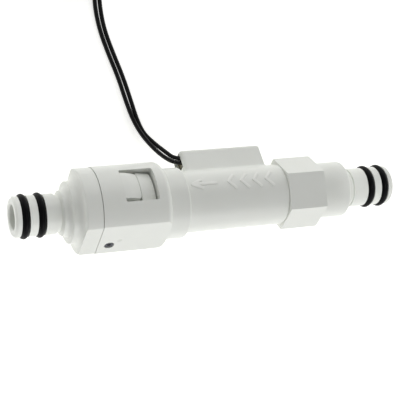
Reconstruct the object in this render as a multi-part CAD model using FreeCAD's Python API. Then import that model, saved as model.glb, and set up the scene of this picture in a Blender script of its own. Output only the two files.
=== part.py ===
"""Piston flow switch: an inline plastic switch with a spring-loaded magnet piston and a reed capsule.

Each piece is built in an upright frame, in millimetres: X is the flow axis from outlet to inlet, and the
reed pocket points to +Z. lying() then turns the whole switch to the way it lies on a table, on the round
of its socket and one edge of its pocket, with the table at z = 0.
"""
import FreeCAD
import Part
import math
import os

V = FreeCAD.Vector

# Lengths along the flow axis, from the outlet end to the inlet end
end_land = 3.6             # spigot end to the middle of the first seal
seal_pitch = 5.75          # between the two seals of a spigot
outlet_land = 5.45         # middle of the second seal to the clip groove, outlet side
clip_groove_width = 1.4
first_step_rise = 0.7      # clip groove to the first step's edge
second_step_rise = 2.3     # first step's edge to the second step's edge
flange_rise = 3.3          # second step's edge to the flange
flange_length = 5.9
socket_length = 25.6
ring_length = 7.6
barrel_length = 38.88
hex_gap = 0.02             # barrel end to hex, where the joint is tightened
hex_length = 14.6
shoulder_length = 11.3
inlet_collar = 2.2         # shoulder to the narrow groove, inlet side
inlet_groove_width = 0.7
inlet_land = 7.35          # narrow groove to the middle of the third seal

# Diameters, walls and sections
port_diameter = 9.0
port_chamfer = 0.5
spigot_wall = 2.7
end_chamfer = 0.7
seal_section = 2.6
seal_standout = 0.7        # how far a seal stands out of its spigot
clip_groove_depth = 0.8
inlet_groove_depth = 0.5
first_step = 0.8           # the steps of the outlet's cone, out from the spigot
second_step = 3.8
flange_set_in = 0.2        # flange to socket, where they meet
socket_diameter = 30.8
socket_wall = 3.8
seam_gap = 0.2             # hairline between flange and socket
ring_height = 1.65         # ring, out from the barrel
barrel_diameter = 22.2
barrel_wall = 1.9
hex_across_flats = 22.9
hex_edge_chamfer = 0.25
hex_corner_round = 0.3
shoulder_diameter = 20.6
throat_widening = 0.2      # inner stretch of the inlet port, where the piston's nose sits
throat_length = 16.0
wrench_flat_depth = 2.5    # socket's round to each of its two flats
wrench_flat_round = 0.8
moulded_clearance = 0.1    # between moulded pieces that fit together
groove_side_gap = 0.15     # between a seal and each side of its groove
groove_bottom_gap = 0.05
press_gap = 0.05           # between pieces pressed or moulded on each other

# Edge roundings of the mouldings
step_edge_round = 0.25
first_cove = 1.4           # hollow between the cone's first and second step
second_cove = 2.0          # hollow between its second step and the flange
flange_round = 0.6
socket_round = 2.3
ring_round = 0.8
barrel_round = 0.3
shoulder_round = 1.0

# Snap windows in the two sides of the socket
window_to_end = 4.9        # window to the socket's end
window_length = 12.2
window_width = 13.2
window_corner = 0.6
tongue_length = 6.2
tongue_width = 10.4
tongue_dip = 1.5           # how far the tip lies under the socket's surface
tongue_straight = 1.2      # from the root, before it slopes
tongue_roll = 12.0         # rounding where it starts to slope
tongue_lift = 0.6          # tongue to plug sleeve
tongue_tip_round = 1.2
tongue_edge_round = 0.3
catch_gap = 0.15           # tongue tip to barb
barb_length = 5.35
barb_depth = 1.7           # barb's top under the socket's surface
barb_slope = 0.9           # how far the barb falls from the tongue's tip to its far end
barb_width = 11.9
barb_relief_length = 0.5   # slot behind the barb's far end
barb_relief_depth = 1.2

# Pin hole in one wrench flat
pin_hole_diameter = 3.6
pin_hole_from_seam = 4.3
pin_hole_side = 3.4
pin_hole_depth = 3.2
ejector_mark_radius = 1.0  # shallow dimple beside the pin hole
ejector_mark_depth = 0.35
ejector_mark_from_seam = 7.5
ejector_mark_side = 0.6

# Plug sleeve of the outlet fitting, and its seal
plug_short = 0.85          # sleeve end to the bottom of the socket
socket_floor = 1.0         # bottom of the socket to the socket's end
plug_wall = 2.3
plug_seal_section = 1.8
plug_seal_from_end = 1.55
plug_cove = 2.0            # rounding at the bottom of the sleeve

# Threaded stub of the inlet fitting, and its seal
stub_length = 6.9
joint_seal_section = 1.6
joint_seal_from_hex = 1.8

# Spring seat, clamped between the plug sleeve and the bottom of the socket
seat_thickness = 0.75
seat_hub_width = 2.2       # spring's seat around the guide
seat_spokes = 3
seat_spoke_width = 2.4
guide_wall = 0.9           # tube inside the spring, which stops the piston
guide_clearance = 0.3
stop_gap = 0.1

# Piston and what rides on it
piston_travel = 9.0
piston_fit = 0.25          # radial gap to the barrel's bore
piston_head = 1.85
piston_flutes = 4
flute_width = 6.0
flute_depth = 3.0
nose_clearance = 0.8       # piston's nose to the throat
nose_taper = 1.1
nose_length = 5.2
nose_tip_round = 1.0
piston_edge_round = 0.3
stem_diameter = 6.0
poppet_seal_thickness = 1.15
poppet_land = 2.3          # width of the soft washer's seat around the throat
poppet_gap = 0.05
magnet_length = 6.0
magnet_side_gap = 2.4      # magnet to the barrel's bore
cap_thickness = 2.2
cap_side_gap = 1.7
cap_boss_length = 1.6
cap_round = 0.4
cap_spring_gap = 0.15      # cap's boss to the spring

# Return spring
spring_wire = 0.7
spring_mean_diameter = 9.8
spring_coils = 8
spring_wire_sides = 8
spring_end_gap = 0.1

# Reed pocket on the barrel
pocket_from_ring = 4.1
pocket_length = 31.6
pocket_width = 9.5
pocket_wall = 1.2
pocket_floor_wall = 3.8    # barrel's bore to the pocket's floor
pocket_room = 5.95         # height inside
pocket_edge_round = 1.8
pocket_mouth_round = 1.4
pocket_tail_chamfer = 1.3
pocket_foot_round = 1.8    # between the pocket's sides and the barrel
potting_recess = 0.5
potting_length = 3.5

# Reed capsule and its wiring inside the pocket
glass_diameter = 2.5
glass_length = 14.0
glass_from_potting = 2.0
glass_wall = 0.35
glass_end = 1.6
glass_round = 0.8
glass_seat_gap = 0.2
reed_lead_diameter = 0.6
reed_lead_length = 2.0     # outside the glass
blade_width = 1.1
blade_thickness = 0.3
blade_overlap = 1.2
blade_gap = 0.12
sealed_gap = 0.02          # between a reed lead and what is fused or crimped on it
crimp_diameter = 1.7
crimp_length = 1.8
return_wire_diameter = 1.0
return_wire_height = 2.7   # above the reed's axis

# Leads: two hook-up wires that lie on the table and end in a tied coil
lead_diameter = 1.6
core_diameter = 0.76
core_length = 6.0
front_exit_inset = (1.35, 3.35)  # from the pocket's upper side wall and from its ceiling
rear_exit_inset = (0.85, 1.65)
exit_gap = 0.03
exit_run = 3.7             # straight out of the potting
coil_centre = (-41.8, 87.0)
coil_base = 0.6            # the coil lies on the tie
front_turn_radius = 7.9
rear_turn_radius = 9.7
turn_pitch = 1.7
front_turns = 4.25
rear_turns = 3.5
turn_room = 0.05           # around the turns
coil_mouth_gap = 0.2       # lead's end to the outside of the coil
tie_width = 2.2
tie_thickness = 0.5
tie_angle = 45.0

# Routes of the leads on the table, from the pocket to the coil, in the lying frame
front_route = [
    (-12.7, 14.4, 6.5), (-16.2, 18.3, 4.5), (-19.8, 23.4, 2.6), (-22.5, 29.2, 1.4), (-24.6, 36.2, 0.8),
    (-26.9, 44.6, 0.8), (-30.1, 53.2, 0.8), (-33.0, 62.2, 0.8), (-34.3, 71.2, 0.8),
]
rear_route = [
    (-12.4, 16.3, 5.4), (-15.3, 19.5, 3.2), (-18.5, 24.1, 1.45), (-20.95, 29.9, 0.8), (-22.75, 36.75, 0.8),
    (-25.2, 45.15, 0.8), (-28.4, 53.8, 0.8), (-31.3, 62.6, 0.8), (-32.45, 72.0, 0.8),
]

# Radii and stations worked out from the sizes above
port_r = port_diameter / 2
spigot_r = port_r + spigot_wall
throat_r = port_r + throat_widening
nose_r = throat_r - nose_clearance
seal_mean_r = spigot_r + seal_standout - seal_section / 2
seal_groove_r = seal_mean_r - seal_section / 2 - groove_bottom_gap
seal_groove_half = seal_section / 2 + groove_side_gap
socket_r = socket_diameter / 2
flange_r = socket_r - flange_set_in
flat_r = socket_r - wrench_flat_depth
socket_bore_r = socket_r - socket_wall
barrel_r = barrel_diameter / 2
ring_r = barrel_r + ring_height
bore_r = barrel_r - barrel_wall
plug_r = socket_bore_r - moulded_clearance
plug_bore_r = plug_r - plug_wall
plug_seal_mean_r = socket_bore_r - groove_bottom_gap - plug_seal_section / 2
joint_seal_mean_r = bore_r - groove_bottom_gap - joint_seal_section / 2
spring_inner_r = (spring_mean_diameter - spring_wire) / 2
pocket_floor = bore_r + pocket_floor_wall
pocket_ceiling = pocket_floor + pocket_room
pocket_height = pocket_ceiling + pocket_wall
pocket_side = pocket_width / 2 - pocket_wall

outlet_seals = [end_land, end_land + seal_pitch]
clip_groove_at = outlet_seals[1] + outlet_land
first_step_at = clip_groove_at + clip_groove_width + first_step_rise
second_step_at = first_step_at + second_step_rise
flange_at = second_step_at + flange_rise
seam_at = flange_at + flange_length
socket_end = seam_at + socket_length
ring_end = socket_end + ring_length
barrel_end = ring_end + barrel_length
hex_at = barrel_end + hex_gap
hex_end = hex_at + hex_length
shoulder_end = hex_end + shoulder_length
inlet_groove_at = shoulder_end + inlet_collar
inlet_seals = [inlet_groove_at + inlet_groove_width + inlet_land]
inlet_seals.append(inlet_seals[0] + seal_pitch)
total_length = inlet_seals[1] + end_land

socket_mouth = seam_at + seam_gap
socket_bottom = socket_end - socket_floor
plug_end = socket_bottom - plug_short
window_at = socket_end - window_to_end - window_length
tongue_tip_at = window_at + tongue_length
barb_at = tongue_tip_at + catch_gap
plug_seal_at = plug_end - plug_seal_from_end
stub_end = hex_at - stub_length
joint_seal_at = hex_at - joint_seal_from_hex
pocket_at = ring_end + pocket_from_ring
pocket_end = pocket_at + pocket_length
potting_at = pocket_at + potting_recess
potting_end = potting_at + potting_length
glass_at = potting_end + glass_from_potting
glass_stop = glass_at + glass_length
reed_height = pocket_floor + glass_seat_gap + glass_diameter / 2
front_lead_exit = (pocket_side - front_exit_inset[0], pocket_ceiling - front_exit_inset[1])
rear_lead_exit = (pocket_side - rear_exit_inset[0], pocket_ceiling - rear_exit_inset[1])

poppet_face = stub_end - poppet_gap
head_front = poppet_face - poppet_seal_thickness
head_back = head_front - piston_head
magnet_back = head_back - press_gap - magnet_length
cap_front = magnet_back - press_gap
cap_back = cap_front - cap_thickness
spring_seat_face = socket_bottom - press_gap

# The lying frame: the pocket dips until its far edge, which is rounded, touches the table
edge_height = pocket_height - pocket_edge_round
edge_side = pocket_width / 2 - pocket_edge_round
lying_dip = (math.asin((socket_r - pocket_edge_round) / math.hypot(edge_height, edge_side))
             - math.atan2(edge_side, edge_height))
lying_reach = edge_height * math.cos(lying_dip) + edge_side * math.sin(lying_dip) + pocket_edge_round
lying_shift = V(-total_length / 2, (socket_r - lying_reach) / 2, socket_r)

# Drawing aids
X_AXIS = V(1, 0, 0)
same_place = 1e-6          # two places nearer than this are one
overrun = 1.0              # how far a cutter reaches past what it cuts
arc_share = 0.45           # of the shorter run beside a lead's bend, taken up by the bend's arc
pieces = {}


def lying(shape):
    """A copy of an upright shape, turned and placed as the switch lies on the table."""
    turned = shape.copy()
    turned.rotate(V(0, 0, 0), X_AXIS, -90 - math.degrees(lying_dip))
    turned.translate(lying_shift)
    return turned


def lying_point(along, side, height):
    """The lying place of an upright point; side counts towards the window that looks up."""
    y = height * math.cos(lying_dip) + side * math.sin(lying_dip)
    z = side * math.cos(lying_dip) - height * math.sin(lying_dip)
    return V(along, y, z) + lying_shift


def outline(points):
    """A closed face in the XY plane through (x, radius) points; a third number rounds that corner."""
    corners = [(V(p[0], p[1], 0), p[2] if len(p) > 2 else 0) for p in points]
    edges = []
    firsts = []
    lasts = []
    for i, (corner, rounding) in enumerate(corners):
        back = (corners[i - 1][0] - corner).normalize()
        ahead = (corners[(i + 1) % len(corners)][0] - corner).normalize()
        if not rounding:
            firsts.append(corner)
            lasts.append(corner)
            continue
        half = back.getAngle(ahead) / 2
        cut = rounding / math.tan(half)
        centre = corner + (back + ahead).normalize() * (rounding / math.sin(half))
        middle = centre + (corner - centre).normalize() * rounding
        firsts.append(corner + back * cut)
        lasts.append(corner + ahead * cut)
        edges.append(Part.Arc(firsts[-1], middle, lasts[-1]).toShape())
    for i in range(len(corners)):
        start, stop = lasts[i - 1], firsts[i]
        if start.distanceToPoint(stop) > same_place:
            edges.append(Part.LineSegment(start, stop).toShape())
    return Part.Face(Part.Wire(Part.__sortEdges__(edges)))


def turned(points):
    """A solid of revolution about the flow axis."""
    return outline(points).revolve(V(0, 0, 0), X_AXIS, 360)


def tube(start, stop, outer, inner):
    """A plain round tube along the flow axis."""
    return turned([(start, inner), (start, outer), (stop, outer), (stop, inner)])


def rod(start, stop, radius, height=0.0, side=0.0):
    """A round rod along the flow axis direction, at a height and a side."""
    return Part.makeCylinder(radius, stop - start, V(start, -side, height), X_AXIS)


def block(start, stop, low, high, width):
    """A box along the flow axis, centred across it, between two heights."""
    return Part.makeBox(stop - start, width, high - low, V(start, -width / 2, low))


def seal_ring(place, mean_radius, section):
    """An O-ring about the flow axis."""
    return Part.makeTorus(mean_radius, section / 2, V(place, 0, 0), X_AXIS)


def groove_points(places, radius, half_width, bottom):
    """Profile points of square seal grooves cut into a cylinder, from low to high x."""
    points = []
    for place in places:
        low, high = place - half_width, place + half_width
        points += [(low, radius), (low, bottom), (high, bottom), (high, radius)]
    return points


def softened(section, rounding):
    """A convex section with its corners rounded: drawn in by the rounding, and out again."""
    return section.makeOffset2D(-rounding, join=2).makeOffset2D(rounding, join=0)


def flatted_bar(start, stop, radius):
    """A round bar with the two wrench flats and softened edges between flat and round."""
    disc = Part.Face(Part.Wire(Part.makeCircle(radius, V(start, 0, 0), X_AXIS)))
    corners = [(-1, -1), (1, -1), (1, 1), (-1, 1), (-1, -1)]
    band = Part.Face(Part.makePolygon([V(start, side * 2 * radius, up * flat_r) for side, up in corners]))
    section = disc.common(band).Faces[0]
    return softened(section, wrench_flat_round).extrude(V(stop - start, 0, 0))


def side_pair(shape):
    """A shape on the -Y side of the switch, and its copy on the other side."""
    other = shape.copy()
    other.rotate(V(0, 0, 0), X_AXIS, 180)
    return [shape, other]


def edges_at(shape, along=None, height=None):
    """The edges of a shape whose middles lie at a place along the flow axis, at a height, or both."""
    found = shape.Edges
    if along is not None:
        found = [e for e in found if abs(e.CenterOfMass.x - along) < same_place]
    if height is not None:
        found = [e for e in found if abs(e.CenterOfMass.z - height) < same_place]
    return found


def side_slice(start, stop, width, corner_round):
    """The space on the -Y side that is one window feature wide, with rounded corners."""
    space = Part.makeBox(stop - start, socket_diameter, width, V(start, -socket_diameter, -width / 2))
    corners = edges_at(space, height=-width / 2) + edges_at(space, height=width / 2)
    corners = [e for e in corners if abs(e.CenterOfMass.y + socket_r) < same_place
               and abs(e.CenterOfMass.x - (start + stop) / 2) > same_place]
    return space.makeFillet(corner_round, corners)


def pin_hole():
    """The blind hole drilled square into the lower wrench flat."""
    bottom = V(seam_at + pin_hole_from_seam, pin_hole_side, pin_hole_depth - flat_r)
    return Part.makeCylinder(pin_hole_diameter / 2, wrench_flat_depth + pin_hole_depth, bottom, V(0, 0, -1))


def ejector_mark():
    """The dimple that an ejector pin leaves beside the pin hole."""
    ball_r = (ejector_mark_radius ** 2 + ejector_mark_depth ** 2) / (2 * ejector_mark_depth)
    centre = V(seam_at + ejector_mark_from_seam, ejector_mark_side, ejector_mark_depth - flat_r - ball_r)
    return Part.makeSphere(ball_r, centre)


def snap_tongue():
    """A springy tongue that slopes inwards from the socket's surface to its free tip."""
    flush = socket_r - moulded_clearance / 2
    inside = plug_r + tongue_lift
    wall = turned([
        (socket_mouth, flush), (window_at + tongue_straight, flush, tongue_roll),
        (tongue_tip_at, socket_r - tongue_dip, tongue_edge_round), (tongue_tip_at, inside),
        (socket_mouth, inside),
    ])
    return wall.common(side_slice(socket_mouth, tongue_tip_at, tongue_width, tongue_tip_round))


def reed_pocket():
    """The long narrow housing for the reed capsule, open towards the outlet."""
    shell = block(pocket_at, pocket_end, bore_r, pocket_height, pocket_width)
    shell = shell.makeChamfer(pocket_tail_chamfer, edges_at(shell, pocket_end, pocket_height))
    shell = shell.makeFillet(pocket_mouth_round, edges_at(shell, pocket_at, pocket_height))
    sides = [e for e in edges_at(shell, height=pocket_height)
             if abs(abs(e.CenterOfMass.y) - pocket_width / 2) < same_place]
    return shell.makeFillet(pocket_edge_round, sides)


def with_foot(body):
    """The body with a hollow rounding along the line where the pocket meets the barrel."""
    middle = (pocket_at + pocket_edge_round + pocket_end) / 2
    height = math.sqrt(barrel_r ** 2 - (pocket_width / 2) ** 2)
    return body.makeFillet(pocket_foot_round, edges_at(body, middle, height))


def pocket_hollow(start, stop):
    """The inside of the reed pocket between two places."""
    return block(start, stop, pocket_floor, pocket_ceiling, 2 * pocket_side)


def main_body():
    """Socket, ring, barrel and reed pocket, moulded in one."""
    shell = turned([
        (socket_mouth, socket_bore_r), (socket_mouth, socket_r), (socket_end, socket_r, socket_round),
        (socket_end, ring_r), (ring_end, ring_r, ring_round), (ring_end, barrel_r),
        (barrel_end, barrel_r, barrel_round), (barrel_end, bore_r),
        (socket_bottom, bore_r), (socket_bottom, socket_bore_r),
    ])
    ahead = Part.makeBox(total_length, 2 * socket_diameter, 2 * socket_diameter,
                         V(socket_end, -socket_diameter, -socket_diameter))
    shell = shell.common(flatted_bar(seam_at, socket_end, socket_r).fuse(ahead))
    window = side_slice(window_at, window_at + window_length, window_width, window_corner)
    shell = shell.cut(side_pair(window) + [pin_hole(), ejector_mark()])
    shell = with_foot(shell.fuse(side_pair(snap_tongue()) + [reed_pocket()]).removeSplitter())
    return shell.cut([pocket_hollow(pocket_at - overrun, pocket_end - pocket_wall),
                      rod(socket_end, barrel_end + overrun, bore_r)]).removeSplitter()


def barb():
    """A ramp on the plug sleeve that the tongue's tip catches behind."""
    top = socket_r - barb_depth
    root = plug_r - plug_wall / 2
    barb_end = barb_at + barb_length
    ramp = turned([
        (barb_at, root), (barb_at, top, tongue_edge_round),
        (barb_end, top - barb_slope, tongue_edge_round), (barb_end, root),
    ])
    return ramp.common(side_slice(barb_at - overrun, barb_end + overrun, barb_width, window_corner))


def barb_relief():
    """The slot in the plug sleeve behind a barb's far end."""
    start = barb_at + barb_length
    stop = start + barb_relief_length
    bottom = plug_r - barb_relief_depth
    ring = turned([(start, bottom), (start, socket_r), (stop, socket_r), (stop, bottom)])
    return ring.common(side_slice(start - overrun, stop + overrun, barb_width, window_corner))


def outlet_fitting():
    """Spigot, stepped cone, flange and the plug sleeve that snaps into the socket."""
    groove = spigot_r - clip_groove_depth
    first = spigot_r + first_step
    second = spigot_r + second_step
    seal_bottom = plug_seal_mean_r - plug_seal_section / 2 - groove_bottom_gap
    seal_half = plug_seal_section / 2 + groove_side_gap
    shell = turned(
        [(0, port_r + port_chamfer), (0, spigot_r - end_chamfer), (end_chamfer, spigot_r)]
        + groove_points(outlet_seals, spigot_r, seal_groove_half, seal_groove_r)
        + [(clip_groove_at, spigot_r), (clip_groove_at, groove),
           (clip_groove_at + clip_groove_width, groove), (first_step_at, first, step_edge_round),
           (second_step_at, first, first_cove), (second_step_at, second, step_edge_round),
           (flange_at, second, second_cove), (flange_at, flange_r, flange_round),
           (seam_at, flange_r), (seam_at, plug_r)]
        + groove_points([plug_seal_at], plug_r, seal_half, seal_bottom)
        + [(plug_end, plug_r, tongue_edge_round), (plug_end, plug_bore_r), (seam_at, plug_bore_r, plug_cove),
           (seam_at - flange_length / 2, port_r), (port_chamfer, port_r)])
    behind = rod(-overrun, flange_at, socket_diameter)
    ahead = rod(seam_at, plug_end + overrun, socket_diameter)
    shell = shell.common(flatted_bar(flange_at, seam_at, flange_r).fuse([behind, ahead]))
    shell = shell.fuse(side_pair(barb()))
    return shell.cut(side_pair(barb_relief()) + [pin_hole()]).removeSplitter()


def hexagon():
    """The wrench hexagon, with its corners broken at both ends."""
    corner_r = hex_across_flats / math.sqrt(3)
    points = [V(hex_at, corner_r * math.cos(math.radians(60 * k)), corner_r * math.sin(math.radians(60 * k)))
              for k in range(7)]
    section = Part.Face(Part.makePolygon(points))
    prism = softened(section, hex_corner_round).extrude(V(hex_length, 0, 0))
    turning = turned([
        (hex_at, 0), (hex_at, corner_r - hex_edge_chamfer), (hex_at + hex_edge_chamfer, corner_r),
        (hex_end - hex_edge_chamfer, corner_r), (hex_end, corner_r - hex_edge_chamfer), (hex_end, 0),
    ])
    return prism.common(turning)


def inlet_fitting():
    """Hexagon, shoulder, spigot and the stub that screws into the barrel."""
    stub_r = bore_r - moulded_clearance
    narrow = spigot_r - inlet_groove_depth
    seal_half = joint_seal_section / 2 + groove_side_gap
    seal_bottom = joint_seal_mean_r - joint_seal_section / 2 - groove_bottom_gap
    shoulder_r = shoulder_diameter / 2
    throat_end = stub_end + throat_length
    core = turned(
        [(throat_end, port_r), (throat_end - throat_widening, throat_r), (stub_end, throat_r),
         (stub_end, stub_r)]
        + groove_points([joint_seal_at], stub_r, seal_half, seal_bottom)
        + [(hex_end, stub_r), (hex_end, shoulder_r), (shoulder_end, shoulder_r, shoulder_round),
           (shoulder_end, spigot_r), (inlet_groove_at, spigot_r), (inlet_groove_at, narrow),
           (inlet_groove_at + inlet_groove_width, narrow), (inlet_groove_at + inlet_groove_width, spigot_r)]
        + groove_points(inlet_seals, spigot_r, seal_groove_half, seal_groove_r)
        + [(total_length - end_chamfer, spigot_r), (total_length, spigot_r - end_chamfer),
           (total_length, port_r + port_chamfer), (total_length - port_chamfer, port_r)])
    ring = hexagon().cut(rod(hex_at - overrun, hex_end + overrun, spigot_r))
    return core.fuse(ring).removeSplitter()


def spring_seat():
    """A spoked disc with a guide tube: it carries the spring, stops the piston and lets the water through."""
    start = spring_seat_face - seat_thickness
    guide_r = spring_inner_r - guide_clearance
    guide = tube(start, cap_back - cap_boss_length - piston_travel - stop_gap, guide_r, guide_r - guide_wall)
    rim = tube(start, spring_seat_face, socket_bore_r - moulded_clearance, bore_r)
    hub = tube(start, spring_seat_face, guide_r + seat_hub_width, guide_r - guide_wall)
    spokes = []
    for k in range(seat_spokes):
        spoke = block(start, spring_seat_face, guide_r, (bore_r + socket_bore_r) / 2, seat_spoke_width)
        spoke.rotate(V(0, 0, 0), X_AXIS, 360 * k / seat_spokes)
        spokes.append(spoke)
    return rim.fuse([hub, guide] + spokes).removeSplitter()


def piston():
    """Fluted head, nose that fills the inlet port at rest, and the stem that carries the magnet."""
    head_r = bore_r - piston_fit
    stem_r = stem_diameter / 2
    nose_end = head_front + nose_length
    solid = turned([
        (cap_back - cap_boss_length, 0), (cap_back - cap_boss_length, stem_r, piston_edge_round),
        (head_back, stem_r),
        (head_back, head_r), (head_front, head_r, piston_edge_round), (head_front, nose_r),
        (stub_end + poppet_seal_thickness, nose_r), (nose_end, nose_r - nose_taper, nose_tip_round),
        (nose_end, 0),
    ])
    flutes = []
    for k in range(piston_flutes):
        flute = block(head_back - overrun, head_front + overrun, head_r - flute_depth, head_r + overrun,
                      flute_width)
        flute.rotate(V(0, 0, 0), X_AXIS, 360 * (k + 0.5) / piston_flutes)
        flutes.append(flute)
    return solid.cut(flutes)


def poppet_seal():
    """The soft washer that the piston rests with on the inlet stub."""
    return tube(head_front, poppet_face, throat_r + poppet_land, nose_r + press_gap)


def piston_magnet():
    """The ring magnet that the reed capsule answers to."""
    return tube(magnet_back, head_back - press_gap, bore_r - magnet_side_gap, stem_diameter / 2 + press_gap)


def magnet_cap():
    """The cap pressed on the stem: it holds the magnet and centres the spring."""
    boss_r = spring_inner_r - cap_spring_gap
    cap_r = bore_r - cap_side_gap
    hole = stem_diameter / 2 + press_gap
    return turned([
        (cap_back - cap_boss_length, hole), (cap_back - cap_boss_length, boss_r, cap_round),
        (cap_back, boss_r),
        (cap_back, cap_r, cap_round), (cap_front, cap_r, cap_round), (cap_front, hole),
    ])


def return_spring():
    """The compression spring between the seat and the piston's cap."""
    start = spring_seat_face + spring_end_gap + spring_wire / 2
    stop = cap_back - spring_end_gap - spring_wire / 2
    length = stop - start
    mean_r = spring_mean_diameter / 2
    path = Part.Wire(Part.makeHelix(length / spring_coils, length, mean_r).Edges)
    corners = []
    for k in range(spring_wire_sides + 1):
        angle = 2 * math.pi * k / spring_wire_sides
        corners.append(V(mean_r + spring_wire / 2 * math.cos(angle), 0, spring_wire / 2 * math.sin(angle)))
    coil = path.makePipeShell([Part.makePolygon(corners)], True, True)
    coil.rotate(V(0, 0, 0), V(0, 1, 0), 90)
    coil.translate(V(start, 0, 0))
    return coil


def reed_blade(lead_end, glass_face, tip, level):
    """A round lead that is pressed flat inside the glass, at a level above or below the reed's axis."""
    low, high = min(lead_end, glass_face), max(lead_end, glass_face)
    lead = rod(low, high, reed_lead_diameter / 2, reed_height)
    start, stop = min(glass_face, tip), max(glass_face, tip)
    bottom = reed_height + level - blade_thickness / 2
    return lead.fuse(block(start, stop, bottom, bottom + blade_thickness, blade_width)).removeSplitter()


def reed_blades():
    """The two blades, which overlap in the middle of the capsule with a small gap between them."""
    middle = (glass_at + glass_stop) / 2
    level = (blade_gap + blade_thickness) / 2
    reach = blade_overlap / 2
    fixed = reed_blade(glass_at - reed_lead_length, glass_at + glass_end, middle + reach, -level)
    moving = reed_blade(glass_stop + reed_lead_length, glass_stop - glass_end, middle - reach, level)
    return fixed, moving


def reed_glass():
    """The sealed glass capsule, hollow between its two fused ends."""
    outer = glass_diameter / 2
    inner = outer - glass_wall
    capsule = turned([
        (glass_at, 0), (glass_at, outer, glass_round), (glass_stop, outer, glass_round), (glass_stop, 0),
    ])
    hollow = turned([
        (glass_at + glass_end, 0), (glass_at + glass_end, inner), (glass_stop - glass_end, inner),
        (glass_stop - glass_end, 0),
    ])
    bottle = capsule.cut(hollow)
    bottle.translate(V(0, 0, reed_height))
    lead_r = reed_lead_diameter / 2 + sealed_gap
    return bottle.cut(rod(glass_at - overrun, glass_stop + overrun, lead_r, reed_height))


def crimp(start, wire_diameter):
    """A crimped sleeve that joins a reed lead to its wire."""
    stop = start + crimp_length
    sleeve = rod(start, stop, crimp_diameter / 2, reed_height)
    return sleeve.cut(rod(start - overrun, stop + overrun, wire_diameter / 2 + sealed_gap, reed_height))


def return_wire():
    """The wire from the far reed lead back over the capsule into the potting."""
    lift = return_wire_height
    start = glass_stop + reed_lead_length
    bend = start + crimp_length / 2
    run = Part.LineSegment(V(start, 0, reed_height), V(bend, 0, reed_height)).toShape()
    turn = Part.Arc(V(bend, 0, reed_height), V(bend + lift / 2, 0, reed_height + lift / 2),
                    V(bend, 0, reed_height + lift)).toShape()
    back = Part.LineSegment(V(bend, 0, reed_height + lift), V(potting_end, 0, reed_height + lift)).toShape()
    section = Part.Wire(Part.makeCircle(return_wire_diameter / 2, V(start, 0, reed_height), X_AXIS))
    return Part.Wire([run, turn, back]).makePipeShell([section], True, False)


def potting():
    """The cast block that closes the pocket's mouth around the two leads."""
    cast = pocket_hollow(potting_at, potting_end)
    hole_r = lead_diameter / 2 + exit_gap
    holes = [rod(potting_at - overrun, potting_at + potting_length / 2, hole_r, height, side)
             for side, height in (front_lead_exit, rear_lead_exit)]
    return cast.cut(holes)


def lead_tube(name, points):
    """A round wire along straight runs joined by arcs as large as the runs allow."""
    edges = []
    radii = []
    last = points[0]
    for a, corner, b in zip(points, points[1:], points[2:]):
        back, ahead = a - corner, b - corner
        cut = arc_share * min(back.Length, ahead.Length)
        half = back.getAngle(ahead) / 2
        radius = cut * math.tan(half)
        first = corner + V(back).normalize() * cut
        stop = corner + V(ahead).normalize() * cut
        towards = (V(back).normalize() + V(ahead).normalize()).normalize()
        middle = corner + towards * (radius / math.sin(half) - radius)
        edges += [Part.LineSegment(last, first).toShape(), Part.Arc(first, middle, stop).toShape()]
        radii.append(radius)
        last = stop
    edges.append(Part.LineSegment(last, points[-1]).toShape())
    path = Part.Wire(edges)
    section = Part.Wire(Part.makeCircle(lead_diameter / 2, points[0], points[1] - points[0]))
    wire = path.makePipeShell([section], True, False)
    ideal = math.pi * (lead_diameter / 2) ** 2 * path.Length
    print(name, "length %.1f, volume share %.3f, smallest radius %.1f diameters"
          % (path.Length, wire.Volume / ideal, min(radii) / lead_diameter))
    return wire


def coil_turns(radius, turns):
    """The ring that the turns of one lead fill."""
    room = lead_diameter / 2 + turn_room
    height = turns * turn_pitch + lead_diameter
    bottom = V(*coil_centre, coil_base)
    ring = Part.makeCylinder(radius + room, height, bottom)
    return ring.cut(Part.makeCylinder(radius - room, height, bottom))


def coil_mouth(radius):
    """Where a lead that runs in along +Y meets the outside of the coil."""
    outside = rear_turn_radius + lead_diameter / 2 + 2 * turn_room
    inset = math.sqrt(outside ** 2 - (radius - lead_diameter / 2) ** 2)
    level = (coil_base + lead_diameter) / 2
    return V(coil_centre[0] + radius, coil_centre[1] - inset - coil_mouth_gap, level)


def coil_core(radius, turns):
    """The bare end of a lead, straight on from the last turn."""
    angle = 2 * math.pi * turns
    outward = V(math.cos(angle), math.sin(angle), 0)
    ahead = V(-math.sin(angle), math.cos(angle), 0)
    room = lead_diameter / 2 + turn_room
    past = math.sqrt((radius + room) ** 2 - (radius - core_diameter / 2) ** 2) + turn_room
    middle = V(*coil_centre, coil_base + lead_diameter / 2 + turns * turn_pitch)
    start = middle + outward * radius + ahead * past
    return Part.makeCylinder(core_diameter / 2, core_length, start, ahead)


def lead_tie():
    """The strap around the coil."""
    room = lead_diameter / 2 + turn_room
    inner = math.sqrt((front_turn_radius - room) ** 2 - (tie_width / 2) ** 2) - turn_room
    outer = rear_turn_radius + room + turn_room
    top = coil_base + front_turns * turn_pitch + lead_diameter + 2 * turn_room
    corner = V(inner, -tie_width / 2, tie_thickness)
    hole = Part.makeBox(outer - inner, tie_width, top - tie_thickness, corner)
    strap = Part.makeBox(outer - inner + 2 * tie_thickness, tie_width, top + tie_thickness,
                         V(inner - tie_thickness, -tie_width / 2, 0))
    band = strap.cut(hole)
    band.rotate(V(0, 0, 0), V(0, 0, 1), tie_angle)
    band.translate(V(*coil_centre, 0))
    return band


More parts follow.
